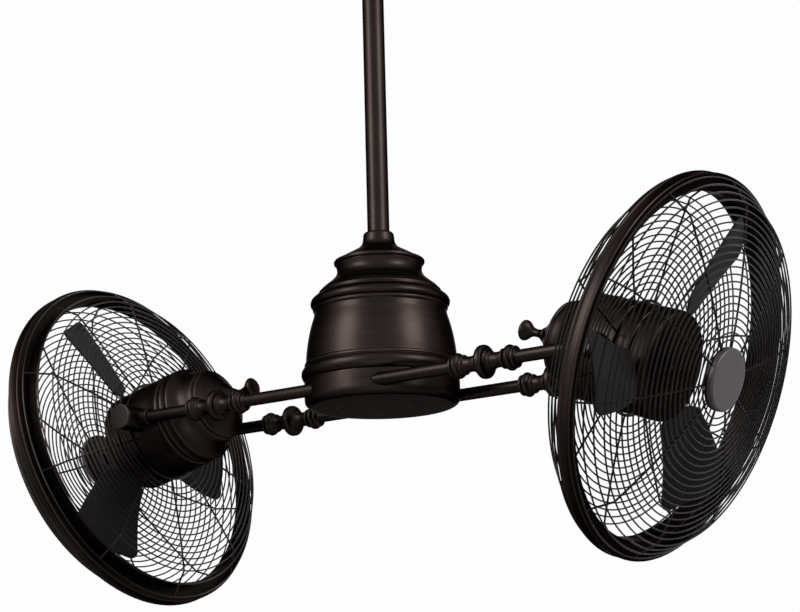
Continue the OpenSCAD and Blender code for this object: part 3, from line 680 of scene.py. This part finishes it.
def makeArms():
    outline = finialOutline()
    size = socketShape
    for sideName, side in (("left", -1), ("right", 1)):
        for rowName, row in (("front", -1), ("rear", 1)):
            label = rowName.capitalize() + sideName.capitalize()
            place = alongX(row * armLine["aside"], side)
            pieceFrom(lathe(outline, sides=72), "arm" + label, place, bronze["arm"], "hub",
                      [f"arm_{rowName}_{sideName}"])
            turn = pivotPlace(side, row)
            barrel = rod(size["radius"], size["near"], size["far"], sides=96, soft=size["edges"])
            socket = pieceFrom(barrel, "socket" + label, turn, bronze["socket"], "hub",
                               [f"socket_{rowName}_{sideName}"])
            start, bore = size["pivot"] - size["collarFrom"], armLine["radius"] + armLine["fit"]
            collar = lathe([(0, size["pivot"]), (size["collar"], size["pivot"], 0.1),
                            (size["collar"], start, 0.8), (bore, start, 0.1),
                            (bore, start + size["collarLip"], 0.1), (0, start + size["collarLip"])], sides=72)
            collar.transform(place)
            combine(socket, [collar], "UNION")
            studBore = rod(size["bore"], size["near"] - 1, size["boreEnd"], turn, 48)
            combine(socket, [studBore], "DIFFERENCE")


def makePivotCaps():
    size = socketShape
    discs = [rod(size["radius"], size["capNear"], size["capFar"], pivotPlace(side, row), 96,
                 size["capEdges"]) for side in (-1, 1) for row in (-1, 1)]
    pieceFrom(joined(discs), "pivotCaps", Matrix(), bronze["cap"], "hub", ["pivot_caps"])


makeArms()
makePivotCaps()
print("hub and arms are built")

# motors, with heights in mm along the head's axis from its tilt axis
motorShape = {
    "shell": [(58.3, 15), (62, 15, 0.3), (61.9, 4), (60.9, -17), (61.5, -20.4, 0.8), (61.7, -25.6, 0.8),
              (60.9, -27.6, 0.3), (59.4, -28.2, 0.2), (59.4, -29.6, 0.2), (60.6, -30.6, 0.6),
              (61.2, -33.4, 0.8), (60.3, -35.4, 0.8), (60.2, -41.2, 0.8), (61.0, -43.2, 0.8),
              (60.2, -45.6, 0.6), (57.4, -47.6), (53.6, -51), (50.4, -56), (48.6, -62), (47.6, -70, 1),
              (46.6, -73.2, 0.5), (44.2, -74.4, 0.3), (44.2, -75.4, 0.3), (45.4, -76.4, 0.8),
              (45.2, -78.8, 0.8), (42.8, -79.6, 0.4), (39.4, -81.8), (34.6, -85.2), (28.4, -90),
              (21.4, -95.8), (14.6, -101.6), (10, -106.5, 0.6), (3.1, -106.5)],
    "shellInside": [(3.1, -103), (8, -102), (18, -95.6), (31, -84.6), (41.5, -77), (43.6, -70),
                    (45.4, -61), (50.5, -50), (56.6, -43), (56.8, -27), (58.3, -22)],
    "pad": 15.0, "padReach": 62.8, "padFrom": 52, "padEdges": (0.1, 0.5),
    "studBore": 5.1, "boreFrom": 48, "boreTo": 70,
    "can": [(7, 37.2), (58.6, 37.2, 0.3), (59.2, 38, 0.5), (61.2, 38, 0.8), (62, 36.9, 0.7),
            (61.8, 35.4, 0.4), (61.5, 34.8, 0.3), (62, 15.3, 0.2), (55.7, 15.3)],
    "canInside": [(55.7, 17.5), (59.5, 17.5), (59.5, 35), (7, 35)],
    "knob": [(0, -106.8), (8.6, -106.8, 0.4), (8.8, -109, 0.8), (6.6, -111.4), (4.8, -114.6), (4.5, -119),
             (5.1, -123.6), (7, -127.6), (10.4, -131.4), (12, -134.4, 1.0), (12, -137, 1.0), (9.6, -139, 1.0),
             (8.4, -137.6, 0.8), (0, -137.2)],
    "badge": [(0, 131.04), (33, 131.04, 1.4), (35, 129.84, 1.2), (35, 124.64, 0.3), (0, 124.64)],
    "stator": [(34.5, 34.4), (37, 34.6, 1.5), (47, 34.6, 1.5), (50, 33), (56.8, 33, 0.4),
               (56.8, 18, 0.4), (50, 18), (47, 12.2, 1.5), (37, 12.2, 1.5), (34.5, 13)],
    "statorInside": [(34.5, 18), (31, 18), (31, 33), (34.5, 33)],
    "rotor": [(0, 60.2), (4, 60.2, 0.4), (4, 23), (18, 23, 0.8), (18, 33), (30.5, 33, 0.3), (30.5, 17, 0.3),
              (4, 17), (4, -39, 0.4), (0, -39)],
    "bearing": [(4.03, 3.5), (6.2, 3.5, 0.3), (6.4, 3.1), (8.8, 3.1), (9, 3.5), (10.95, 3.5, 0.4)],
    "bearingsAt": (31.3, -33.5),    # middles of the rings, whose lower half mirrors the upper
}


def makeShell(side, place):
    shape = motorShape
    shell = lathe(shape["shell"], shape["shellInside"], sides=144)
    shell = pieceFrom(shell, "motorShell" + side.capitalize(), place, bronze[side], side + "_head",
                      [side + "_rear_shell"])
    turns = [place @ acrossHead(row) for row in (-1, 1)]
    pads = [rod(shape["pad"], shape["padFrom"], shape["padReach"], turn, 72, shape["padEdges"])
            for turn in turns]
    bores = [rod(shape["studBore"], shape["boreFrom"], shape["boreTo"], turn, 48) for turn in turns]
    combine(shell, pads, "UNION")
    combine(shell, bores, "DIFFERENCE")


def bearingAt(middle):
    half = motorShape["bearing"]
    upper = [(radius, middle + up, *fillet) for radius, up, *fillet in half]
    lower = [(radius, middle - up, *fillet) for radius, up, *fillet in reversed(half)]
    return lathe(upper + lower, [(half[0][0], middle)], sides=64)


def makeMotors():
    shape = motorShape
    for side, place in heads.items():
        label, head = side.capitalize(), side + "_head"
        makeShell(side, place)
        rings = [bearingAt(middle) for middle in shape["bearingsAt"]]
        can = lathe(shape["can"], shape["canInside"], sides=144)
        stator = lathe(shape["stator"], shape["statorInside"], sides=96)
        for name, turning, material, body, node, slotName in (
                ("motorCan", can, bronze[side], head, "motor_can", "bronze"),
                ("pullKnob", lathe(shape["knob"], sides=72), bronze[side], head, "handle_knob", "bronze"),
                ("badgeDisc", lathe(shape["badge"]), finishes["badge"], head, "badge", "bronze"),
                ("stator", stator, finishes["copper"], head, "stator", "copper"),
                ("rotor", lathe(shape["rotor"], sides=64), finishes["steel"], side + "_blades", "rotor",
                 "steel"),
                ("motorBearings", joined(rings), finishes["steel"], head, "motor_bearings", "steel")):
            pieceFrom(turning, name + label, place, material, body, [f"{side}_{node}"])


makeMotors()
print("motors are built")

# wire guards
cageShape = {
    "band": [(211.6, 73.25), (213.6, 73.25, 0.6), (214.3, 72.4, 0.5), (214.3, 70.8, 0.5), (213.5, 70.0, 0.4),
             (213.1, 67, 0.8), (213.1, 62.5, 0.8), (213.5, 60.9, 0.4), (214.3, 60.1, 0.5), (214.3, 58.5, 0.5),
             (213.6, 57.6, 0.5), (211.0, 57.6, 0.5), (210.9, 59.2, 0.3), (212.3, 59.7, 0.3),
             (212.3, 63.0, 0.2), (194.6, 63.0, 0.4), (194.6, 45.4, 0.3), (194.2, 45, 0.2), (193, 45, 0.2),
             (193, 66.3, 0.5), (193.6, 66.7, 0.2), (194.6, 66.6, 0.2), (194.8, 64.6, 0.3),
             (212.3, 64.6, 0.2), (212.3, 71.2, 0.3), (210.9, 71.7, 0.3)],
    "bandEnd": [(210.9, 73.0)],
    # name: inputs of the cage tree, in mm
    "front": {"Rings": 20, "Outer radius": 189.0, "Ring step": 7.7, "Rise at centre": 126.6, "Fall": -33.2,
              "Fall reach": 210.0, "Fall power": 1.8, "Side rings": 3, "Lip radius": 209.7,
              "Lip height": 74.85, "Rib start": 34.0, "Rib offset": -1.5},
    "rear": {"Rings": 15, "Outer radius": 184.0, "Ring step": 7.65, "Rise at centre": 16.4, "Fall": 11.6,
             "Fall reach": 190.0, "Fall power": 2.5, "Side rings": 2, "Lip radius": 209.7,
             "Lip height": 52.3, "Rib start": 63.4, "Rib offset": 1.5},
    "wire": 0.96, "ribWire": 1.2, "ribs": 10, "ribSteps": (40, 8),
    "frontPlate": ([(8, 124.1), (34.4, 124.1, 0.4), (35, 123.4, 0.5), (34.8, 121.2, 0.4), (8, 121.2)],
                   [(8, 121.3)]),
    "rearPlate": ([(62.4, 18.9), (65.6, 18.9, 0.6), (66, 17.9, 0.5), (65.6, 16.8, 0.5), (62.4, 16.8)],
                  [(62.4, 16.9)]),
}


def geo(tree, kind, inputs=None, **settings):
    return addNode(tree, "GeometryNode" + kind, inputs, **settings).outputs[0]


def vector(tree, **parts):
    return shade(tree, "CombineXYZ", parts)[0]


def treeWith(name, numbers, counts, models=()):
    # also returns its inputs and the three helpers that make its nodes
    tree = bpy.data.node_groups.new(name, "GeometryNodeTree")
    for kind, labels in (("Float", numbers), ("Int", counts), ("Object", models), ("Material", ["Finish"])):
        for label in labels:
            tree.interface.new_socket(name=label, in_out="INPUT", socket_type="NodeSocket" + kind)
    tree.interface.new_socket(name="Geometry", in_out="OUTPUT", socket_type="NodeSocketGeometry")
    helpers = [partial(make, tree) for make in (arith, geo, vector)]
    return tree, tree.nodes.new("NodeGroupInput").outputs, helpers


def closeTree(tree, geometry, finish):
    real = geo(tree, "RealizeInstances", {"Geometry": geometry})
    painted = geo(tree, "SetMaterial", {"Geometry": real, "Material": finish})
    addNode(tree, "NodeGroupOutput", {"Geometry": painted})
    return tree


def makeCageTree():
    counts = ("Rings", "Side rings", "Ribs")
    numbers = [label for label in cageShape["front"] if label not in counts] + ["Wire radius", "Rib radius"]
    tree, value, (calc, node, xyz) = treeWith("guardCage", numbers, counts)

    def faceHeight(radius):
        share = calc("POWER", calc("DIVIDE", radius, value["Fall reach"]), value["Fall power"])
        return calc("MULTIPLY_ADD", share, value["Fall"], value["Rise at centre"])

    index = node("InputIndex")
    circle = node("CurvePrimitiveCircle", {"Resolution": 144, "Radius": 1.0})
    rimHeight = faceHeight(value["Outer radius"])

    def rings(count, radius, height):
        points = node("Points", {"Count": count, "Position": xyz(Z=height)})
        size = xyz(X=radius, Y=radius, Z=1.0)
        return node("InstanceOnPoints", {"Points": points, "Instance": circle, "Scale": size})

    faceRadius = calc("SUBTRACT", value["Outer radius"], calc("MULTIPLY", index, value["Ring step"]))
    faceRings = rings(value["Rings"], faceRadius, faceHeight(faceRadius))
    sideShare = calc("DIVIDE", calc("ADD", index, 1), value["Side rings"])
    sideWidth = calc("SUBTRACT", value["Lip radius"], value["Outer radius"])
    sideDepth = calc("SUBTRACT", value["Lip height"], rimHeight)
    sideRings = rings(value["Side rings"], calc("MULTIPLY_ADD", sideShare, sideWidth, value["Outer radius"]),
                      calc("MULTIPLY_ADD", sideShare, sideDepth, rimHeight))

    # one rib from the centre plate over the face and down the side, repeated round the axis
    steps, sideSteps = cageShape["ribSteps"]
    line = node("CurvePrimitiveLine")
    fine = node("ResampleCurve", {"Curve": line, "Count": steps + sideSteps + 1}, mode="COUNT")
    alongFace = calc("MINIMUM", calc("DIVIDE", index, steps), 1.0)
    alongSide = calc("DIVIDE", calc("MAXIMUM", calc("SUBTRACT", index, steps), 0.0), sideSteps)
    span = calc("SUBTRACT", value["Outer radius"], value["Rib start"])
    ribRadius = calc("MULTIPLY_ADD", alongFace, span, value["Rib start"])
    ribHeight = calc("MULTIPLY_ADD", alongSide, sideDepth, faceHeight(ribRadius))
    ribRadius = calc("MULTIPLY_ADD", alongSide, sideWidth, ribRadius)
    spot = xyz(X=ribRadius, Z=calc("ADD", ribHeight, value["Rib offset"]))
    rib = node("SetPosition", {"Geometry": fine, "Position": spot})
    spread = node("Points", {"Count": value["Ribs"]})
    angle = calc("DIVIDE", calc("MULTIPLY", index, 2 * math.pi), value["Ribs"])
    ribs = node("InstanceOnPoints", {"Points": spread, "Instance": rib, "Rotation": xyz(Z=angle)})

    def wires(curves, radius):
        profile = node("CurvePrimitiveCircle", {"Resolution": 8, "Radius": radius})
        real = node("RealizeInstances", {"Geometry": curves})
        return node("CurveToMesh", {"Curve": real, "Profile Curve": profile, "Fill Caps": True})

    rounds, everything = (tree.nodes.new("GeometryNodeJoinGeometry") for _ in range(2))
    for source, join in ((sideRings, rounds), (faceRings, rounds),
                         (wires(rounds.outputs[0], value["Wire radius"]), everything),
                         (wires(ribs, value["Rib radius"]), everything)):
        tree.links.new(source, join.inputs[0])
    metres = node("Transform", {"Geometry": everything.outputs[0], "Scale": (mm, mm, mm)})
    return closeTree(tree, node("SetShadeSmooth", {"Geometry": metres}), value["Finish"])


def grown(name, tree, values, place, material, body, replaced, extra=()):
    # a piece made by a Geometry Nodes tree: the tree runs, its mesh is kept, the modifier goes
    piece = placed(name, bpy.data.meshes.new(name))
    growth = piece.modifiers.new(name, "NODES")
    growth.node_group = tree
    for item in tree.interface.items_tree:
        if item.item_type == "SOCKET" and item.in_out == "INPUT" and item.name in values:
            growth[item.identifier] = values[item.name]
    baked(piece)
    shape = bmesh.new()
    shape.from_mesh(piece.data)
    for other in extra:
        addShape(shape, other)
    shape.transform(place)
    shape.to_mesh(piece.data)
    shape.free()
    piece.data.materials.clear()
    piece.data.materials.append(material)
    for face in piece.data.polygons:
        face.material_index = 0
    return handOver(piece, body, replaced, crease=40)


def makeCages():
    tree = makeCageTree()
    common = {"Wire radius": cageShape["wire"], "Rib radius": cageShape["ribWire"],
              "Ribs": cageShape["ribs"], "Finish": finishes["wire"]}
    for side, place in heads.items():
        label = side.capitalize()
        pieceFrom(lathe(cageShape["band"], cageShape["bandEnd"], sides=192, steps=4), "cageBand" + label,
                  place, bronze["band" + label], side + "_head", [side + "_guard_band"])
        for half in ("front", "rear"):
            plate = lathe(*cageShape[half + "Plate"], sides=96, steps=3)
            grown(half + "Guard" + label, tree, {**cageShape[half], **common}, place, finishes["wire"],
                  side + "_head", [f"{side}_{half}_guard"], extra=[plate])


makeCages()
print("cages are built")

# blades: edges are given as (trailing, leading), across the blade in mm from its middle line
bladeShape = {
    "inner": 30, "tab": 6, "wide": 62, "neck": 65, "root": 67, "reach": (168.2, 182.9),
    "rootEdge": (-21, 30.5), "tipEdge": (-55.8, 37.3), "bow": (5.3, 4.3), "rounded": 0.12, "corner": 13,
    "thick": 2.2, "pitch": 19.4, "lean": 9.9, "height": 40.3, "camber": 2.0,
    "spin": {"right": 162.3, "left": -24.2}, "softEdge": 0.6, "crease": 50,
    "cuts": {"root": 6, "middle": 20, "tip": 8, "across": 12},
}
bladeHubShape = {
    "outside": [(4.05, 63.3), (56, 63.5, 1.5), (59.8, 62.6, 1.6), (61.6, 60.2, 1.6), (62, 57),
                (62, 40.6, 0.5), (61.4, 40, 0.3), (59.5, 40, 0.2)],
    "inside": [(59.5, 57.5), (57.6, 60.6), (55, 61.4), (10, 61.4), (10, 44.2), (32, 44.2), (32, 40.6),
               (4.05, 40.6)],
    # each blade's foot and its slot through the wall: from and to along the blade, with clearances
    "foot": (28, 60), "footDeep": 3, "slot": (29, 72), "gap": 0.3, "under": 0.05,
}


def bladePlace(side, number):
    shape = bladeShape
    spin = math.radians(shape["spin"][side] + 120 * number)
    return (heads[side] @ turned(z=spin) @ moved(z=shape["height"] * mm)
            @ turned(math.radians(shape["pitch"]), math.radians(-shape["lean"])))


def bladeEdges(share):
    # the trailing and leading edges of the bowed paddle, from its root (0) to its tip (1)
    shape = bladeShape
    ends = []
    for k in (0, 1):
        along = shape["root"] + (shape["reach"][k] - shape["root"]) * share
        aside = shape["rootEdge"][k] + (shape["tipEdge"][k] - shape["rootEdge"][k]) * share
        ends.append(Vector((along, aside + 4 * shape["bow"][k] * share * (1 - share), 0)))
    full = (ends[1] - ends[0]).normalized()
    rounded = shape["rounded"]
    if share > 1 - rounded:
        near = (share - 1 + rounded) / rounded
        inset = shape["corner"] * (1 - math.sqrt(max(1 - near * near, 0)))
        ends = [ends[0] + full * inset, ends[1] - full * inset]
    if share < rounded:
        near = 1 - share / rounded
        share = 1 - math.sqrt(max(1 - near * near, 0))
        foot = [Vector((end.x, side * (shape["tab"] + 2), 0)) for end, side in zip(ends, (-1, 1))]
        ends = [end.lerp(corner, share) for end, corner in zip(ends, foot)]
    return ends


def makeBlade(side, number):
    shape = bladeShape
    tab = shape["tab"]
    edges = [[Vector((along, -tab, 0)), Vector((along, tab, 0))]
             for along in (shape["inner"], shape["wide"], shape["neck"])]
    rounded = shape["rounded"]
    root, middle, tip, across = shape["cuts"].values()
    shares = [rounded * (1 - math.cos(math.pi / 2 * k / root)) for k in range(root + 1)]
    shares += [rounded + (1 - 2 * rounded) * k / middle for k in range(1, middle)]
    shares += [1 - rounded + rounded * math.sin(math.pi / 2 * k / tip) for k in range(tip + 1)]
    edges += [bladeEdges(share) for share in shares]
    mesh = bmesh.new()
    rows = []
    for low, high in edges:
        grow = max((low.x + high.x) / 2 - shape["root"], 0) / (shape["reach"][1] - shape["root"])
        row = []
        for k in range(across + 1):
            hollow = shape["camber"] * grow * (1 - (2 * k / across - 1) ** 2)
            row.append(mesh.verts.new((low.lerp(high, k / across) + Vector((0, 0, hollow))) * mm))
        rows.append(row)
    for near, far in zip(rows, rows[1:]):
        for k in range(across):
            mesh.faces.new((near[k], far[k], far[k + 1], near[k + 1]))
    name = f"blade{number + 1}" + side.capitalize()
    blade = pieceFrom(mesh, name, bladePlace(side, number), finishes["blade"], side + "_blades",
                      [f"{side}_blade_{number + 1}"], shape["crease"])
    wall = blade.modifiers.new("thickness", "SOLIDIFY")
    wall.thickness = shape["thick"] * mm
    wall.offset = 0
    edge = blade.modifiers.new("softEdge", "BEVEL")
    edge.width = shape["softEdge"] * mm
    edge.segments = 2
    edge.limit_method = "ANGLE"
    edge.angle_limit = math.radians(shape["crease"])


def makeBlades():
    tab, thick, hubShape = bladeShape["tab"], bladeShape["thick"], bladeHubShape
    gap, under = hubShape["gap"], -thick / 2 - hubShape["under"]
    for side, place in heads.items():
        for number in range(3):
            makeBlade(side, number)
        label = side.capitalize()
        hub = pieceFrom(lathe(hubShape["outside"], hubShape["inside"], sides=144), "bladeHub" + label,
                        place, bronze["drum" + label], side + "_blades", [side + "_blade_hub"])
        feet, slots = [], []
        for number in range(3):
            (near, far), (start, end) = hubShape["foot"], hubShape["slot"]
            feet.append(boxShape((near, -tab, -thick / 2 - hubShape["footDeep"]), (far, tab, under)))
            slots.append(boxShape((start, -tab - gap, under), (end, tab + gap, thick / 2 + gap)))
            for shape in (feet[-1], slots[-1]):
                shape.transform(bladePlace(side, number))
        combine(hub, feet, "UNION")
        combine(hub, slots, "DIFFERENCE")


makeBlades()

# screws
screwPlan = {
    "canopy": {"radius": 4.0, "height": 2.0, "shank": 2.0, "length": 9.6, "out": 70.1, "down": 26},
    "blade": {"radius": 3.6, "height": 2.0, "shank": 1.9, "length": 5.8, "out": 37, "spacing": 10},
}
screwHead = {"slotWide": 0.9, "slotDeep": 0.9, "slotPast": 1.2, "flat": 0.7, "brim": 0.4, "soft": 0.8}


def makeScrewTree():
    numbers = ("First radius", "Spacing", "Lift", "Rise", "Pitch", "Lean", "Start")
    tree, out, (calc, node, xyz) = treeWith("screwSet", numbers, ("Around", "Along"), ("Screw",))

    def rotated(point, angle, axis):
        return shade(tree, "VectorRotate", {"Vector": point, "Angle": angle}, rotation_type=axis + "_AXIS")[0]

    index = node("InputIndex")
    turnNumber = calc("FLOOR", calc("DIVIDE", index, out["Along"]))
    placeNumber = calc("SUBTRACT", index, calc("MULTIPLY", turnNumber, out["Along"]))
    swing = calc("DIVIDE", calc("MULTIPLY", turnNumber, 2 * math.pi), out["Around"])
    angle = calc("ADD", out["Start"], swing)
    reach = calc("MULTIPLY_ADD", placeNumber, out["Spacing"], out["First radius"])
    pitched = rotated(xyz(X=reach, Z=out["Rise"]), out["Pitch"], "X")
    leaned = rotated(pitched, out["Lean"], "Y")
    lifted = shade(tree, "VectorMath", {0: leaned, 1: xyz(Z=out["Lift"])}, operation="ADD")[0]
    count = calc("MULTIPLY", out["Around"], out["Along"])
    points = node("Points", {"Count": count, "Position": rotated(lifted, angle, "Z")})
    screw = addNode(tree, "GeometryNodeObjectInfo", {"Object": out["Screw"]}).outputs["Geometry"]
    turn = xyz(X=out["Pitch"], Y=out["Lean"], Z=angle)
    screws = node("InstanceOnPoints", {"Points": points, "Instance": screw, "Rotation": turn})
    return closeTree(tree, screws, out["Finish"])


def makeScrewModel(name, size):
    # a pan head with a slot, on a short shank
    radius, height, shank, length = (size[key] for key in ("radius", "height", "shank", "length"))
    look = screwHead
    head = lathe([(0, height), (radius * look["flat"], height, look["soft"]),
                  (radius, height * look["brim"], look["soft"]), (radius, 0, 0.1), (shank, 0, 0.1),
                  (shank, -length, 0.2), (0, -length)], sides=32, steps=3)
    model = placed(name, meshOf(name, head, finishes["steel"]))
    half, past = look["slotWide"] / 2, radius * look["slotPast"]
    slotCut = boxShape((-past, -half, height - look["slotDeep"]), (past, half, height + 1))
    combine(model, [slotCut], "DIFFERENCE")
    return model


def makeScrews():
    tree = makeScrewTree()
    models = {name: makeScrewModel(name + "Screw", size) for name, size in screwPlan.items()}
    models["canopy"].data.transform(turned(y=math.pi / 2))    # points out of the canopy's side
    size = screwPlan["canopy"]
    plan = {"Screw": models["canopy"], "Around": 2, "Along": 1, "First radius": size["out"] * mm,
            "Lift": -size["down"] * mm, "Finish": bronze["hub"]}
    grown("canopyScrews", tree, plan, Matrix(), bronze["hub"], "ceiling_mount", ["canopy_screws"])
    size, shape = screwPlan["blade"], bladeShape
    for side, place in heads.items():
        plan = {"Screw": models["blade"], "Around": 3, "Along": 2, "First radius": size["out"] * mm,
                "Spacing": size["spacing"] * mm, "Lift": shape["height"] * mm,
                "Rise": shape["thick"] / 2 * mm, "Pitch": math.radians(shape["pitch"]),
                "Lean": math.radians(-shape["lean"]), "Start": math.radians(shape["spin"][side]),
                "Finish": finishes["steel"]}
        grown("bladeScrews" + side.capitalize(), tree, plan, place, finishes["steel"], side + "_blades",
              [side + "_blade_screws"])
    for model in models.values():
        bpy.data.objects.remove(model)


makeScrews()
print("blades and screws are built")

# pieces from the solids that stay as they are, with a finish each
keptFinish = {
    "steel": ["hanger_bracket", "rod_pins", "coupling", "mounting_plate", "spindle", "spindle_nut",
              "spindle_bearings", "left_pivot_studs", "right_pivot_studs"],
    "copper": ["slip_ring"],
    "plastic": ["hanger_ball", "brush_block"],
    "rubber": ["supply_cable"],
}
for finishName, nodeNames in keptFinish.items():
    for nodeName in nodeNames:
        kept = frame["nodes"][nodeName]
        kept.data.materials.clear()
        kept.data.materials.append(finishes[finishName])
print("kept nodes are painted")

print("scene is finished")
